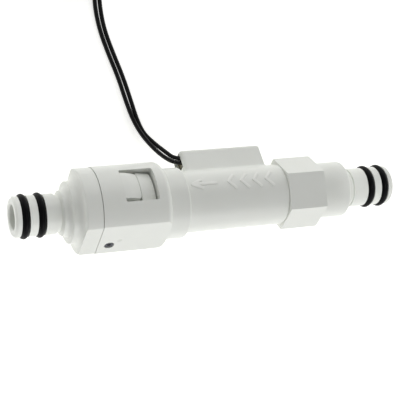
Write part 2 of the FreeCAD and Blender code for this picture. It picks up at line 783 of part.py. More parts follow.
def build():
    """Makes every piece and puts it in its lying place."""
    fixed_blade, moving_blade = reed_blades()
    upright = {
        "main_body": main_body(),
        "outlet_fitting": outlet_fitting(),
        "inlet_fitting": inlet_fitting(),
        "outlet_seal_outer": seal_ring(outlet_seals[0], seal_mean_r, seal_section),
        "outlet_seal_inner": seal_ring(outlet_seals[1], seal_mean_r, seal_section),
        "inlet_seal_inner": seal_ring(inlet_seals[0], seal_mean_r, seal_section),
        "inlet_seal_outer": seal_ring(inlet_seals[1], seal_mean_r, seal_section),
        "outlet_plug_seal": seal_ring(plug_seal_at, plug_seal_mean_r, plug_seal_section),
        "inlet_joint_seal": seal_ring(joint_seal_at, joint_seal_mean_r, joint_seal_section),
        "spring_seat": spring_seat(),
        "return_spring": return_spring(),
        "piston": piston(),
        "piston_magnet": piston_magnet(),
        "magnet_cap": magnet_cap(),
        "poppet_seal": poppet_seal(),
        "reed_glass": reed_glass(),
        "reed_blade_fixed": fixed_blade,
        "reed_blade_moving": moving_blade,
        "reed_crimp_front": crimp(potting_end, reed_lead_diameter),
        "reed_crimp_rear": crimp(glass_stop + reed_lead_length - crimp_length / 2, return_wire_diameter),
        "reed_return_wire": return_wire(),
        "reed_potting": potting(),
    }
    for name, shape in upright.items():
        pieces[name] = lying(shape)
    leads = (("front", front_lead_exit, front_route, front_turn_radius, front_turns),
             ("rear", rear_lead_exit, rear_route, rear_turn_radius, rear_turns))
    for name, exit_at, route, radius, turns in leads:
        start = lying_point(potting_at + potting_length / 2, *exit_at)
        straight = start - V(exit_run, 0, 0)
        points = [start, straight] + [V(*p) for p in route] + [coil_mouth(radius)]
        pieces["lead_" + name] = lead_tube("lead_" + name, points)
        pieces["lead_%s_coil" % name] = coil_turns(radius, turns)
        pieces["lead_%s_core" % name] = coil_core(radius, turns)
    pieces["lead_tie"] = lead_tie()


def export():
    """Writes one STEP file per piece."""
    os.makedirs("parts", exist_ok=True)
    for name, shape in pieces.items():
        solids = shape.Solids
        if not shape.isValid() or not solids:
            raise ValueError("%s is not a valid solid" % name)
        shape = solids[0] if len(solids) == 1 else Part.makeCompound(solids)
        shape.exportStep("parts/%s.step" % name)
        print("%-20s solids %d  volume %.2f" % (name, len(solids), shape.Volume))
    print("total length %.2f, dip %.2f degrees" % (total_length, math.degrees(lying_dip)), lying_shift)


build()
export()
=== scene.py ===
"""Piston flow switch: the finish of its mouldings, seals, inner mechanism and leads, and a studio stage.

Everything is in metres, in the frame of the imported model: X is the flow axis, the table is z = 0.
"""
import math

import bmesh
import bpy
from bpy.props import FloatProperty, FloatVectorProperty, IntProperty, PointerProperty
from bpy.types import Operator, Panel, PropertyGroup
from mathutils import Matrix, Vector


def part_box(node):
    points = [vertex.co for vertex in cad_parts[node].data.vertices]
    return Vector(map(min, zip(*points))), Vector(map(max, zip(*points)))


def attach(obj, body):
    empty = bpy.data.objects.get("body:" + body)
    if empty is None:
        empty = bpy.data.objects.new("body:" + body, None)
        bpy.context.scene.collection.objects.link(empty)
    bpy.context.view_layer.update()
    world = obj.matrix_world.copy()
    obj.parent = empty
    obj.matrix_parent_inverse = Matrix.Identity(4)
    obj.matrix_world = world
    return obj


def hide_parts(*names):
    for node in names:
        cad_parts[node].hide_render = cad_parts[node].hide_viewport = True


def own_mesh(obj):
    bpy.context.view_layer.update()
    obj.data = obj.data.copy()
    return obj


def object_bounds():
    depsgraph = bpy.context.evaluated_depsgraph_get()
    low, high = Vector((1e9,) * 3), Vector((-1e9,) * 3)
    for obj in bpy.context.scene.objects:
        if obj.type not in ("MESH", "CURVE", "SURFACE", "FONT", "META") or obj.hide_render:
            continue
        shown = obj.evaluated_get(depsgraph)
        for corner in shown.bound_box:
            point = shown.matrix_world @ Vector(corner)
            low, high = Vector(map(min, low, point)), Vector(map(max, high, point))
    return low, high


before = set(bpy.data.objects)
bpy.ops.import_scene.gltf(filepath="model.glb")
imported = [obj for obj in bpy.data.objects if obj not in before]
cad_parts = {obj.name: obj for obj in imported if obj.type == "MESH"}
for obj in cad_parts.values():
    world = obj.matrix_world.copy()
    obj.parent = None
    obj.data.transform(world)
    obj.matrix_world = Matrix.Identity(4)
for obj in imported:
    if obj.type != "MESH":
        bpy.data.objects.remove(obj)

bl_info = {
    "name": "Piston flow switch",
    "version": (1, 0, 0),
    "blender": (4, 5, 0),
    "location": "3D View > Sidebar > Flow switch",
    "description": "Builds the finish of a piston flow switch around its packed model",
    "category": "Object",
}

MM = 0.001
CAD_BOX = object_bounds()
HOUSING = "housing"
PISTON = "piston_body"

# Mesh work: the distance at which points join, the bend under which faces are one, and a sharp edge's bend
MERGE_DISTANCE = 0.002 * MM
FLAT_ANGLE = math.radians(0.4)
SMOOTH_ANGLE = math.radians(32)

# Steps around a seal and around its section, and how narrow its flash line is
ROUND_STEPS = 144
SECTION_STEPS = 40
FLASH_SHARPNESS = 60

# The flow axis, and the direction of the reed pocket and of the window that looks up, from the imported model
seal_low, seal_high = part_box("outlet_seal_outer")
AXIS = (seal_low + seal_high) / 2
AXIS.x = 0.0
glass_low, glass_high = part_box("reed_glass")
POCKET_WAY = (glass_low + glass_high) / 2 - AXIS
POCKET_WAY.x = 0.0
POCKET_WAY.normalize()
WINDOW_WAY = Vector((0.0, -POCKET_WAY.z, POCKET_WAY.y))

# Routes of the leads on the table, in millimetres: from the potting to the mouth of the coil
FRONT_ROUTE = [
    (-5.05, 12.36, 7.55), (-8.75, 12.36, 7.55), (-12.7, 14.6, 6.5), (-16.2, 18.3, 4.5),
    (-19.8, 23.4, 2.6), (-22.5, 29.2, 1.4), (-24.6, 36.2, 0.8), (-26.9, 44.6, 0.8),
    (-30.1, 53.2, 0.8), (-33.0, 62.2, 0.8), (-34.3, 71.2, 0.8), (-33.9, 78.93, 1.1),
]
REAR_ROUTE = [
    (-5.05, 14.05, 6.85), (-8.75, 13.88, 6.55), (-12.15, 16.95, 5.1), (-15.2, 19.95, 3.1),
    (-18.75, 24.0, 1.3), (-20.95, 29.9, 0.8), (-22.75, 36.75, 0.8), (-25.2, 45.15, 0.8),
    (-28.4, 53.8, 0.8), (-31.3, 62.6, 0.8), (-32.45, 72.0, 0.8), (-32.1, 81.04, 1.1),
]
LEAD_DIAMETER = 1.6
COIL_CENTRE = (-41.8, 87.0)
COIL_START_HEIGHT = 1.4
TURN_PITCH = 1.7
TURN_POINTS = 16

# Each lead's route, the radius and the number of its turns, its straight end, and what else lies on it
LEADS = {
    "front": (FRONT_ROUTE, 7.9, 4.25, 4.52, ["lead_tie_strap", "lead_tie_ribs"]),
    "rear": (REAR_ROUTE, 9.7, 3.5, 4.99, []),
}
# The way each lead's bare end points, and the roughness of the insulation
BARE_END_WAYS = {"front": Vector((-1, 0, 0)), "rear": Vector((0, -1, 0))}
INSULATION_ROUGHNESS = 0.16

# The tie around the coil, in millimetres: its middle line's limits and corner, then its head and its cut tail
TIE_ANGLE = 45.0
TIE_THICKNESS = 0.5
TIE_PATH = (6.66, 10.85, 0.36, 9.77, 0.75)
CORNER_STEPS = 6
TIE_HEAD = ((10.9, -1.75, 3.5), (13.2, 1.75, 6.6))
TIE_TAIL = ((13.0, -1.05, 4.8), (13.9, 1.05, 5.3))
TIE_EDGE = 0.1

# Ribs of the tie: pitch and height in millimetres, and their share of the strap's width
RIB_PITCH = 0.7
RIB_HEIGHT = 0.2
RIB_SHARE = 0.7

# The potting's face: its mesh size, how far it lies back in the pocket's mouth, the depth over which it comes
# to do so, and how much it dips between the walls and how flat it is in its middle
POTTING_MESH = 0.12 * MM
POTTING_RECESS = 1.0 * MM
RECESS_SPAN = 3.0 * MM
POTTING_DIP = 0.1 * MM
DIP_FLATNESS = 4

# Wound wire: points along the spring and along a strand, sides of the wire, wire radii from one closed turn
# to the next, and the turns of a straight strand, since none at all would leave it without a pitch
SPRING_POINTS = 480
STRAND_POINTS = 40
WIRE_SIDES = 12
CLOSED_SPACING = 2.1
STRAIGHT_TURNS = 0.001

# Raised strokes: voxels across one when its lines are fused, its corner as a share of its width, steps of it
STROKE_VOXELS = 12
STROKE_CORNER = 0.3
STROKE_STEPS = 4

# Profile of the pin, as shares of its radius and millimetres down from its end
PIN_PROFILE = ((0.3, 0.45), (0.42, 0.1), (0.8, 0.0), (0.94, 0.08), (1.0, 0.3), (1.0, 2.1), (0.9, 2.25))
PIN_STEPS = 48

SEALS = ("outlet_seal_outer", "outlet_seal_inner", "inlet_seal_inner", "inlet_seal_outer",
         "outlet_plug_seal", "inlet_joint_seal")

# Strokes of the raised marks, in millimetres along the barrel and around it
ARROW = [[(-9.4, 0.0), (0.2, 0.0)], [(-9.7, -0.13), (-5.4, 1.84)], [(-9.7, 0.13), (-5.4, -1.84)]]
CHEVRON = [[(4.5, -0.2), (7.2, 3.0)], [(4.5, 0.2), (7.2, -3.0)]]

# The camera, in millimetres: its place, the point that it looks at, its upward direction and its sensor
CAMERA_PLACE = (-172.3, 40.3, 445.6)
CAMERA_AIM = (-3.3, -1.05, 15.4)
CAMERA_UP = (0.0568, 1.0007, 0.0)
SENSOR_WIDTH = 36.0

# Softboxes, in metres: place, the spot on the flow axis that each one faces, size, and spread in degrees
SOFTBOXES = {
    "near_softbox": ((0.02, -0.5, 0.32), 0.0, (0.5, 0.35), 180),
    "far_softbox": ((0.05, 0.5, 0.2), 0.0, (0.5, 0.35), 180),
    "inlet_softbox": ((0.06, 0.0, 0.2), CAD_BOX[1][0] - 0.008, (0.01, 0.03), 5),
    "outlet_softbox": ((-0.07, 0.0, 0.2), CAD_BOX[0][0] + 0.004, (0.01, 0.03), 5),
}
# Half the width of the floor and its gap under the switch, in metres
FLOOR_HALF = 1.5
FLOOR_GAP = 0.0002


def linear(hex_colour):
    """An sRGB hex colour as linear red, green and blue."""
    shares = [int(hex_colour[i:i + 2], 16) / 255 for i in (0, 2, 4)]
    return tuple(s / 12.92 if s <= 0.04045 else ((s + 0.055) / 1.055) ** 2.4 for s in shares)


def scale_of(size_mm):
    """The texture scale at which one spot of a pattern is this large, in object coordinates."""
    return 1.0 / (size_mm * MM)


def add_node(tree, kind, inputs=None, **settings):
    """A new node with its settings; each input is a value, or the output socket that feeds it.

    A mix node's inputs go by number, because their names repeat: 0 is the share, 2 and 3 are numbers, and
    6 and 7 are colours.
    """
    node = tree.nodes.new(kind)
    for name, value in settings.items():
        setattr(node, name, value)
    for key, value in (inputs or {}).items():
        if isinstance(value, bpy.types.NodeSocket):
            tree.links.new(value, node.inputs[key])
        else:
            node.inputs[key].default_value = value
    return node


def new_material(name):
    """An empty node material and its tree."""
    material = bpy.data.materials.new(name)
    material.use_nodes = True
    material.node_tree.nodes.clear()
    return material, material.node_tree


def end_material(material, inputs):
    """Ends a material's tree in one shader with these inputs."""
    tree = material.node_tree
    shader = add_node(tree, "ShaderNodeBsdfPrincipled", inputs)
    add_node(tree, "ShaderNodeOutputMaterial", {"Surface": shader.outputs["BSDF"]})
    return material


def moulded_acetal(name, colour, shade):
    """Injection-moulded acetal: a satin skin with faint flow mottling and a little depth under it.

    The skin's texture is finer than 0.1 mm on the real one, and is drawn at 0.5 mm so that it shows.
    """
    material, tree = new_material(name)
    place = add_node(tree, "ShaderNodeTexCoord").outputs["Object"]
    mottle = add_node(tree, "ShaderNodeTexNoise", {"Vector": place, "Scale": scale_of(9.0), "Detail": 3.0})
    tint = add_node(tree, "ShaderNodeMix", {0: mottle.outputs["Fac"], 6: (*shade, 1), 7: (*colour, 1)},
                    data_type="RGBA")
    skin = add_node(tree, "ShaderNodeTexNoise", {"Vector": place, "Scale": scale_of(0.5), "Detail": 4.0})
    gloss = add_node(tree, "ShaderNodeMapRange", {
        "Value": skin.outputs["Fac"], "To Min": 0.28, "To Max": 0.38})
    bump = add_node(tree, "ShaderNodeBump", {
        "Height": skin.outputs["Fac"], "Strength": 0.12, "Distance": 0.05 * MM})
    return end_material(material, {
        "Base Color": tint.outputs[2], "Roughness": gloss.outputs["Result"], "IOR": 1.48,
        "Subsurface Weight": 0.05, "Subsurface Radius": (1.0, 0.9, 0.75), "Subsurface Scale": 1.2 * MM,
        "Normal": bump.outputs["Normal"]})


def one_pattern(name, dark, light, size_mm, detail, gloss, relief, facts):
    """A material whose one fine pattern shades the colour and, where the real one has it, gloss and relief.

    gloss is one roughness, or a pair from the pattern's low to its high. relief is a strength and a height in
    millimetres, or None. facts are constants of the shader.
    """
    material, tree = new_material(name)
    place = add_node(tree, "ShaderNodeTexCoord").outputs["Object"]
    pattern = add_node(tree, "ShaderNodeTexNoise", {
        "Vector": place, "Scale": scale_of(size_mm), "Detail": detail}).outputs["Fac"]
    shade = add_node(tree, "ShaderNodeMix", {0: pattern, 6: (*dark, 1), 7: (*light, 1)}, data_type="RGBA")
    inputs = {"Base Color": shade.outputs[2], "Roughness": gloss, **facts}
    if isinstance(gloss, tuple):
        inputs["Roughness"] = add_node(tree, "ShaderNodeMapRange", {
            "Value": pattern, "To Min": gloss[0], "To Max": gloss[1]}).outputs["Result"]
    if relief:
        inputs["Normal"] = add_node(tree, "ShaderNodeBump", {
            "Height": pattern, "Strength": relief[0], "Distance": relief[1] * MM}).outputs["Normal"]
    return end_material(material, inputs)


def nitrile_rubber(name, colour):
    """Moulded nitrile rubber: near black, a soft sheen with a fine matt bloom.

    The bloom's specks are far finer on the real one, and are drawn at 0.6 mm so that they show.
    """
    bloom = [c * 2.2 for c in colour]
    return one_pattern(name, colour, bloom, 0.6, 5.0, (0.3, 0.5), (0.15, 0.04),
                       {"IOR": 1.52, "Specular IOR Level": 0.08})


def black_plastic(name, colour, rough):
    """Extruded PVC or moulded nylon: deep black and glossy, with the faint waviness of its skin."""
    crest = [c * 1.8 for c in colour]
    return one_pattern(name, colour, crest, 0.8, 3.0, rough, (0.1, 0.04),
                       {"IOR": 1.5, "Specular IOR Level": 0.3})


def metal(name, colour, rough, grain_mm, metallic=1.0):
    """A bare metal with the fine drawn grain of its making, or a dull sintered ceramic if not metallic.

    The real grain is some hundredths of a millimetre, and is drawn at grain_mm so that it shows.
    """
    groove = [c * 0.8 for c in colour]
    return one_pattern(name, groove, colour, grain_mm, 4.0, (rough * 0.8, rough * 1.3), None,
                       {"Metallic": metallic})


def cast_epoxy(name, colour):
    """Cast epoxy potting: olive, cloudy, with the smooth wet gloss of a poured surface."""
    cloud = [c * 0.6 for c in colour]
    return one_pattern(name, cloud, colour, 1.8, 4.0, 0.25, (0.3, 0.1), {"IOR": 1.55})


def capsule_glass(name):
    """Drawn lead glass of the reed capsule: clear, faintly green, with soft fused ends."""
    material, tree = new_material(name)
    place = add_node(tree, "ShaderNodeTexCoord").outputs["Object"]
    waves = add_node(tree, "ShaderNodeTexNoise", {"Vector": place, "Scale": scale_of(1.5)})
    bump = add_node(tree, "ShaderNodeBump", {
        "Height": waves.outputs["Fac"], "Strength": 0.1, "Distance": 0.05 * MM})
    return end_material(material, {
        "Base Color": (*linear("DCEFE2"), 1), "Roughness": 0.03, "IOR": 1.52, "Transmission Weight": 1.0,
        "Normal": bump.outputs["Normal"]})


def painted_board(name, colour, glow):
    """The matt white board of the stage, evenly lit from behind like a light table."""
    return end_material(new_material(name)[0], {
        "Base Color": (*colour, 1), "Roughness": 0.8, "Emission Color": (*colour, 1),
        "Emission Strength": glow})


def material_of(name, maker, *facts):
    """The material of that name, made when it is first asked for."""
    return bpy.data.materials.get(name) or maker(name, *facts)


# Fixed finishes: the function that makes each one, and its colours, roughness and grain
FINISHES = {
    # The raised marks' acetal is coloured a little lighter than the housing's: a painted highlight for the
    # light that the raised strokes catch, with the same gloss as the housing
    "polished_acetal": (moulded_acetal, linear("F4F5F1"), linear("EFF0EA")),
    "natural_acetal": (moulded_acetal, linear("EAE8DC"), linear("E2DFD0")),
    "blackened_steel": (metal, linear("5C5D62"), 0.42, 0.2),
    "sintered_ferrite": (metal, linear("4A4A4C"), 0.55, 0.35, 0.0),
    "drawn_spring_steel": (metal, linear("C4C5C7"), 0.25, 0.3),
    "nickel_iron_strip": (metal, linear("C9C4BA"), 0.3, 0.25),
    "tinned_copper": (metal, linear("CFCDC8"), 0.32, 0.2),
    "reed_capsule_glass": (capsule_glass,),
    "cast_epoxy": (cast_epoxy, linear("6A654F")),
    "moulded_nylon": (black_plastic, linear("121212"), 0.34),
}


def finish_of(name):
    """The material of one of the fixed finishes."""
    return material_of(name, *FINISHES[name])


def about_axis(along, radius, angle):
    """A point about the flow axis; angle 0 looks along the window that faces up."""
    out = WINDOW_WAY * math.cos(angle) + POCKET_WAY * math.sin(angle)
    return Vector((along, AXIS.y, AXIS.z)) + out * radius


def merged_copy(node, name):
    """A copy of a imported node's mesh with its loose triangles joined and its flat faces made whole."""
    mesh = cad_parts[node].data.copy()
    mesh.name = name
    work = bmesh.new()
    work.from_mesh(mesh)
    bmesh.ops.remove_doubles(work, verts=work.verts, dist=MERGE_DISTANCE)
    bmesh.ops.dissolve_limit(work, angle_limit=FLAT_ANGLE, verts=work.verts, edges=work.edges)
    work.to_mesh(mesh)
    work.free()
    return mesh


def finished(piece):
    """The piece's mesh with its modifiers applied."""
    graph = bpy.context.evaluated_depsgraph_get()
    mesh = bpy.data.meshes.new_from_object(piece.evaluated_get(graph))
    piece.modifiers.clear()
    piece.data = mesh
    return piece


def new_object(name, data):
    """A new object at the scene's origin."""
    thing = bpy.data.objects.new(name, data)
    bpy.context.scene.collection.objects.link(thing)
    return thing


def add_piece(name, mesh, material):
    """A new piece at the origin with one material."""
    piece = new_object(name, mesh)
    mesh.materials.clear()
    mesh.materials.append(material)
    return piece


def hand_over(piece, body, slot, *replaced):
    """Fixes a finished piece to its body and hides the nodes that it stands for; slot is not used."""
    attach(piece, body)
    if replaced:
        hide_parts(*replaced)
    return piece


def fuse(piece, voxel):
    """Adds the step that makes one skin of a piece."""
    skin = piece.modifiers.new("fuse", "REMESH")
    skin.mode = "VOXEL"
    skin.voxel_size = voxel


def soften(piece, edge_width):
    """Rounds a piece's sharp edges a little and shades the rest smoothly."""
    piece.data.shade_smooth()
    if edge_width:
        bevel = piece.modifiers.new("edge_break", "BEVEL")
        bevel.width = edge_width
        bevel.segments = 2
        bevel.limit_method = "ANGLE"
        bevel.angle_limit = SMOOTH_ANGLE
        bevel.use_clamp_overlap = True
    normals = piece.modifiers.new("face_weight", "WEIGHTED_NORMAL")
    normals.keep_sharp = True
    return finished(piece)


def copy_node(node, name, material, body, slot, edge_width=0.0):
    """A smooth, edge-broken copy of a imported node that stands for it."""
    piece = add_piece(name, merged_copy(node, name), material)
    if not edge_width:
        piece.data.set_sharp_from_angle(angle=SMOOTH_ANGLE)
    soften(piece, edge_width)
    return hand_over(piece, body, slot, node)


def new_tree(name, inputs):
    """A geometry tree with named inputs, each a name and a socket kind, and the outputs of its input node."""
    tree = bpy.data.node_groups.new(name, "GeometryNodeTree")
    tree.interface.new_socket("Geometry", in_out="OUTPUT", socket_type="NodeSocketGeometry")
    for title, kind in inputs:
        tree.interface.new_socket(title, in_out="INPUT", socket_type="NodeSocket" + kind)
    return tree, add_node(tree, "NodeGroupInput").outputs


def end_tree(tree, geometry, material):
    """Ends a tree in real geometry with a material."""
    real = add_node(tree, "GeometryNodeRealizeInstances", {"Geometry": geometry})
    coated = add_node(tree, "GeometryNodeSetMaterial", {
        "Geometry": real.outputs["Geometry"], "Material": material})
    add_node(tree, "NodeGroupOutput", {"Geometry": coated.outputs["Geometry"]})
    return tree


def grown(tree, name, values, start=None):
    """The plain mesh that a geometry tree gives for these values, from a starting mesh if it needs one."""
    holder = new_object(name, start or bpy.data.meshes.new(name + "_start"))
    modifier = holder.modifiers.new(tree.name, "NODES")
    modifier.node_group = tree
    for item in tree.interface.items_tree:
        if item.in_out == "INPUT" and item.name in values:
            modifier[item.identifier] = values[item.name]
    graph = bpy.context.evaluated_depsgraph_get()
    mesh = bpy.data.meshes.new_from_object(holder.evaluated_get(graph))
    bpy.data.objects.remove(holder)
    mesh.name = name
    return mesh


def wound_wire_tree():
    """Round wires wound about the X axis: closed turns at each end, an even pitch between them."""
    tree, given = new_tree("wound_wire", [
        ("Geometry", "Geometry"), ("Length", "Float"), ("Radius", "Float"), ("Wire radius", "Float"),
        ("Turns", "Float"), ("Closed turns", "Float"), ("Copies", "Int"), ("Points", "Int"),
        ("Material", "Material")])
    line = add_node(tree, "GeometryNodeCurvePrimitiveLine", {"End": (1.0, 0.0, 0.0)})
    path = add_node(tree, "GeometryNodeResampleCurve", {
        "Curve": line.outputs["Curve"], "Count": given["Points"]})
    values = {socket.name: socket for socket in given}
    values["share"] = add_node(tree, "GeometryNodeSplineParameter").outputs["Factor"]
    values["number"] = add_node(tree, "GeometryNodeInputIndex").outputs["Index"]
    # Each row is a value's name, the operation that gives it, and its terms: numbers, inputs or values above
    for name, operation, *terms in (
            ("turned", "MULTIPLY", "share", "Turns"),
            ("closed pitch", "MULTIPLY", "Wire radius", CLOSED_SPACING),
            ("first closed", "MINIMUM", "turned", "Closed turns"),
            ("last start", "SUBTRACT", "Turns", "Closed turns"),
            ("past start", "SUBTRACT", "turned", "last start"),
            ("last closed", "MAXIMUM", "past start", 0.0),
            ("closed", "ADD", "first closed", "last closed"),
            ("open", "SUBTRACT", "turned", "closed"),
            ("all closed", "MULTIPLY", "Closed turns", 2.0),
            ("all open", "SUBTRACT", "Turns", "all closed"),
            ("taken", "MULTIPLY", "all closed", "closed pitch"),
            ("room", "SUBTRACT", "Length", "taken"),
            ("open pitch", "DIVIDE", "room", "all open"),
            ("closed rise", "MULTIPLY", "closed", "closed pitch"),
            ("along", "MULTIPLY_ADD", "open", "open pitch", "closed rise"),
            ("angle", "MULTIPLY", "turned", math.tau),
            ("cosine", "COSINE", "angle"),
            ("sine", "SINE", "angle"),
            ("across", "MULTIPLY", "cosine", "Radius"),
            ("up", "MULTIPLY", "sine", "Radius"),
            ("part", "DIVIDE", "number", "Copies"),
            ("spread", "MULTIPLY", "part", math.tau)):
        feeds = {i: values.get(term, term) for i, term in enumerate(terms)}
        values[name] = add_node(tree, "ShaderNodeMath", feeds, operation=operation).outputs[0]
    place = add_node(tree, "ShaderNodeCombineXYZ", {
        "X": values["along"], "Y": values["across"], "Z": values["up"]})
    wound = add_node(tree, "GeometryNodeSetPosition", {
        "Geometry": path.outputs["Curve"], "Position": place.outputs["Vector"]})
    section = add_node(tree, "GeometryNodeCurvePrimitiveCircle", {
        "Resolution": WIRE_SIDES, "Radius": given["Wire radius"]})
    solid = add_node(tree, "GeometryNodeCurveToMesh", {
        "Curve": wound.outputs["Geometry"], "Profile Curve": section.outputs["Curve"], "Fill Caps": True})
    starts = add_node(tree, "GeometryNodePoints", {"Count": given["Copies"]})
    turn = add_node(tree, "ShaderNodeCombineXYZ", {"X": values["spread"]})
    copies = add_node(tree, "GeometryNodeInstanceOnPoints", {
        "Points": starts.outputs["Geometry"], "Instance": solid.outputs["Mesh"],
        "Rotation": turn.outputs["Vector"]})
    return end_tree(tree, copies.outputs["Instances"], given["Material"])


def raised_strokes_tree():
    """Moulded strokes with rounded edges along the lines of a mesh, repeated at an even pitch along X."""
    tree, given = new_tree("raised_strokes", [
        ("Geometry", "Geometry"), ("Count", "Int"), ("Pitch", "Float"), ("Stroke", "Float"),
        ("Relief", "Float"), ("Material", "Material")])
    lines = add_node(tree, "GeometryNodeMeshToCurve", {"Mesh": given["Geometry"]})
    section = add_node(tree, "GeometryNodeCurvePrimitiveQuadrilateral", {
        "Width": given["Stroke"], "Height": given["Stroke"]})
    corner = add_node(tree, "ShaderNodeMath", {0: given["Stroke"], 1: STROKE_CORNER}, operation="MULTIPLY")
    rounded = add_node(tree, "GeometryNodeFilletCurve", {
        "Curve": section.outputs["Curve"], "Count": STROKE_STEPS, "Radius": corner.outputs[0]}, mode="POLY")
    ridge = add_node(tree, "GeometryNodeCurveToMesh", {
        "Curve": lines.outputs["Curve"], "Profile Curve": rounded.outputs["Curve"], "Fill Caps": True})
    half = add_node(tree, "ShaderNodeMath", {0: given["Stroke"], 1: 0.5}, operation="MULTIPLY")
    flatter = add_node(tree, "ShaderNodeMath", {0: given["Relief"], 1: half.outputs[0]}, operation="DIVIDE")
    size = add_node(tree, "ShaderNodeCombineXYZ", {"X": 1.0, "Y": 1.0, "Z": flatter.outputs[0]})
    low = add_node(tree, "GeometryNodeTransform", {
        "Geometry": ridge.outputs["Mesh"], "Scale": size.outputs["Vector"]})
    step = add_node(tree, "ShaderNodeCombineXYZ", {"X": given["Pitch"]})
    row = add_node(tree, "GeometryNodeMeshLine", {
        "Count": given["Count"], "Offset": step.outputs["Vector"]}, mode="OFFSET")
    copies = add_node(tree, "GeometryNodeInstanceOnPoints", {
        "Points": row.outputs["Mesh"], "Instance": low.outputs["Geometry"]})
    return end_tree(tree, copies.outputs["Instances"], given["Material"])


def cross_ribs_tree():
    """Small ribs across a strap, at an even pitch along the lines of a mesh."""
    tree, given = new_tree("cross_ribs", [
        ("Geometry", "Geometry"), ("Pitch", "Float"), ("Width", "Float"), ("Height", "Float"),
        ("Material", "Material")])
    lines = add_node(tree, "GeometryNodeMeshToCurve", {"Mesh": given["Geometry"]})
    marks = add_node(tree, "GeometryNodeCurveToPoints", {
        "Curve": lines.outputs["Curve"], "Length": given["Pitch"]}, mode="LENGTH")
    half = add_node(tree, "ShaderNodeMath", {0: given["Pitch"], 1: 0.5}, operation="MULTIPLY")
    size = add_node(tree, "ShaderNodeCombineXYZ", {
        "X": given["Width"], "Y": given["Height"], "Z": half.outputs[0]})
    rib = add_node(tree, "GeometryNodeMeshCube", {"Size": size.outputs["Vector"]})
    copies = add_node(tree, "GeometryNodeInstanceOnPoints", {
        "Points": marks.outputs["Points"], "Instance": rib.outputs["Mesh"],
        "Rotation": marks.outputs["Rotation"]})
    return end_tree(tree, copies.outputs["Instances"], given["Material"])


def tree_of(name, maker):
    """The geometry tree of that name, made when it is first asked for."""
    return bpy.data.node_groups.get(name) or maker()


def shade_smooth(mesh):
    """Shades a mesh smoothly, with sharp edges where it turns a corner."""
    mesh.shade_smooth()
    mesh.set_sharp_from_angle(angle=SMOOTH_ANGLE)
    return mesh


def close_rings(work, rings, around):
    """Quads between neighbouring rings of points, and from the last ring to the first if it goes around."""
    pairs = list(zip(rings, rings[1:]))
    if around:
        pairs.append((rings[-1], rings[0]))
    for one, other in pairs:
        for j in range(len(one)):
            k = (j + 1) % len(one)
            work.faces.new((one[j], one[k], other[k], other[j]))


def made_mesh(work, name):
    """A smooth mesh from finished mesh work, with its faces pointing out."""
    bmesh.ops.recalc_face_normals(work, faces=work.faces)
    mesh = bpy.data.meshes.new(name)
    work.to_mesh(mesh)
    work.free()
    return shade_smooth(mesh)


def seal_mesh(name, node, flash):
    """An O-ring with the fine flash line that its two mould halves leave inside and out."""
    low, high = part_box(node)
    section = (high.x - low.x) / 2
    middle = (high.x + low.x) / 2
    mean = (high.y - low.y) / 2 - section
    work = bmesh.new()
    rings = []
    for i in range(ROUND_STEPS):
        angle = math.tau * i / ROUND_STEPS
        ring = []
        for j in range(SECTION_STEPS):
            tilt = math.tau * j / SECTION_STEPS
            thick = section + flash * abs(math.cos(tilt)) ** FLASH_SHARPNESS
            ring.append(work.verts.new(about_axis(
                middle + thick * math.sin(tilt), mean + thick * math.cos(tilt), angle)))
        rings.append(ring)
    close_rings(work, rings, True)
    return made_mesh(work, name)


def stroke_lines(name, strokes):
    """A mesh of bare lines through the points of each stroke, in millimetres along and across."""
    points = []
    edges = []
    for stroke in strokes:
        first = len(points)
        points += [(along * MM, across * MM, 0.0) for along, across in stroke]
        edges += [(i, i + 1) for i in range(first, len(points) - 1)]
    mesh = bpy.data.meshes.new(name)
    mesh.from_pydata(points, edges, [])
    return mesh


def wrapped_mark(name, strokes, settings, count, plastic):
    """Raised strokes fused to one skin and laid round the barrel."""
    mesh = grown(tree_of("raised_strokes", raised_strokes_tree), name, {
        "Count": count, "Pitch": settings.pitch, "Stroke": settings.stroke, "Relief": settings.relief,
        "Material": plastic}, stroke_lines(name + "_lines", strokes))
    piece = add_piece(name, mesh, plastic)
    fuse(piece, settings.stroke / STROKE_VOXELS)
    soft = piece.modifiers.new("soft", "SMOOTH")
    soft.factor = 0.5
    soft.iterations = 2
    finished(piece)
    for vertex in piece.data.vertices:
        along, across, height = vertex.co
        vertex.co = about_axis(along, settings.barrel_radius + height, across / settings.barrel_radius)
    piece.data.shade_smooth()
    return hand_over(piece, HOUSING, "white_housing")


def pour(node, name, resin):
    """The potting, which wets its wires; its face lies back in the mouth and dips between the walls."""
    piece = add_piece(name, merged_copy(node, name), resin)
    fuse(piece, POTTING_MESH)
    mesh = finished(piece).data
    low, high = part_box(node)
    middle = (low + high) / 2
    ways = (POCKET_WAY, WINDOW_WAY)
    halves = [max(abs((v.co - middle).dot(way)) for v in mesh.vertices) for way in ways]
    for vertex in mesh.vertices:
        near_wall = max(abs((vertex.co - middle).dot(way)) / half for way, half in zip(ways, halves))
        depth = (vertex.co.x - low.x) / RECESS_SPAN
        if depth < 1:
            vertex.co.x += POTTING_RECESS * (1 - depth)
        if depth < POTTING_MESH / RECESS_SPAN:
            vertex.co.x += POTTING_DIP * (1 - near_wall ** DIP_FLATNESS)
    shade_smooth(mesh)
    return piece


def strap_outline(offset):
    """The tie's rounded outline, as distances from the coil's axis and heights, in millimetres."""
    inner, outer, bottom, top, corner = TIE_PATH
    outline = []
    for distance, height, start in (
            (outer - corner, top - corner, 0), (inner + corner, top - corner, 90),
            (inner + corner, bottom + corner, 180), (outer - corner, bottom + corner, 270)):
        for step in range(CORNER_STEPS + 1):
            angle = math.radians(start + 90 * step / CORNER_STEPS)
            outline.append((distance + (corner + offset) * math.cos(angle),
                            height + (corner + offset) * math.sin(angle)))
    return outline


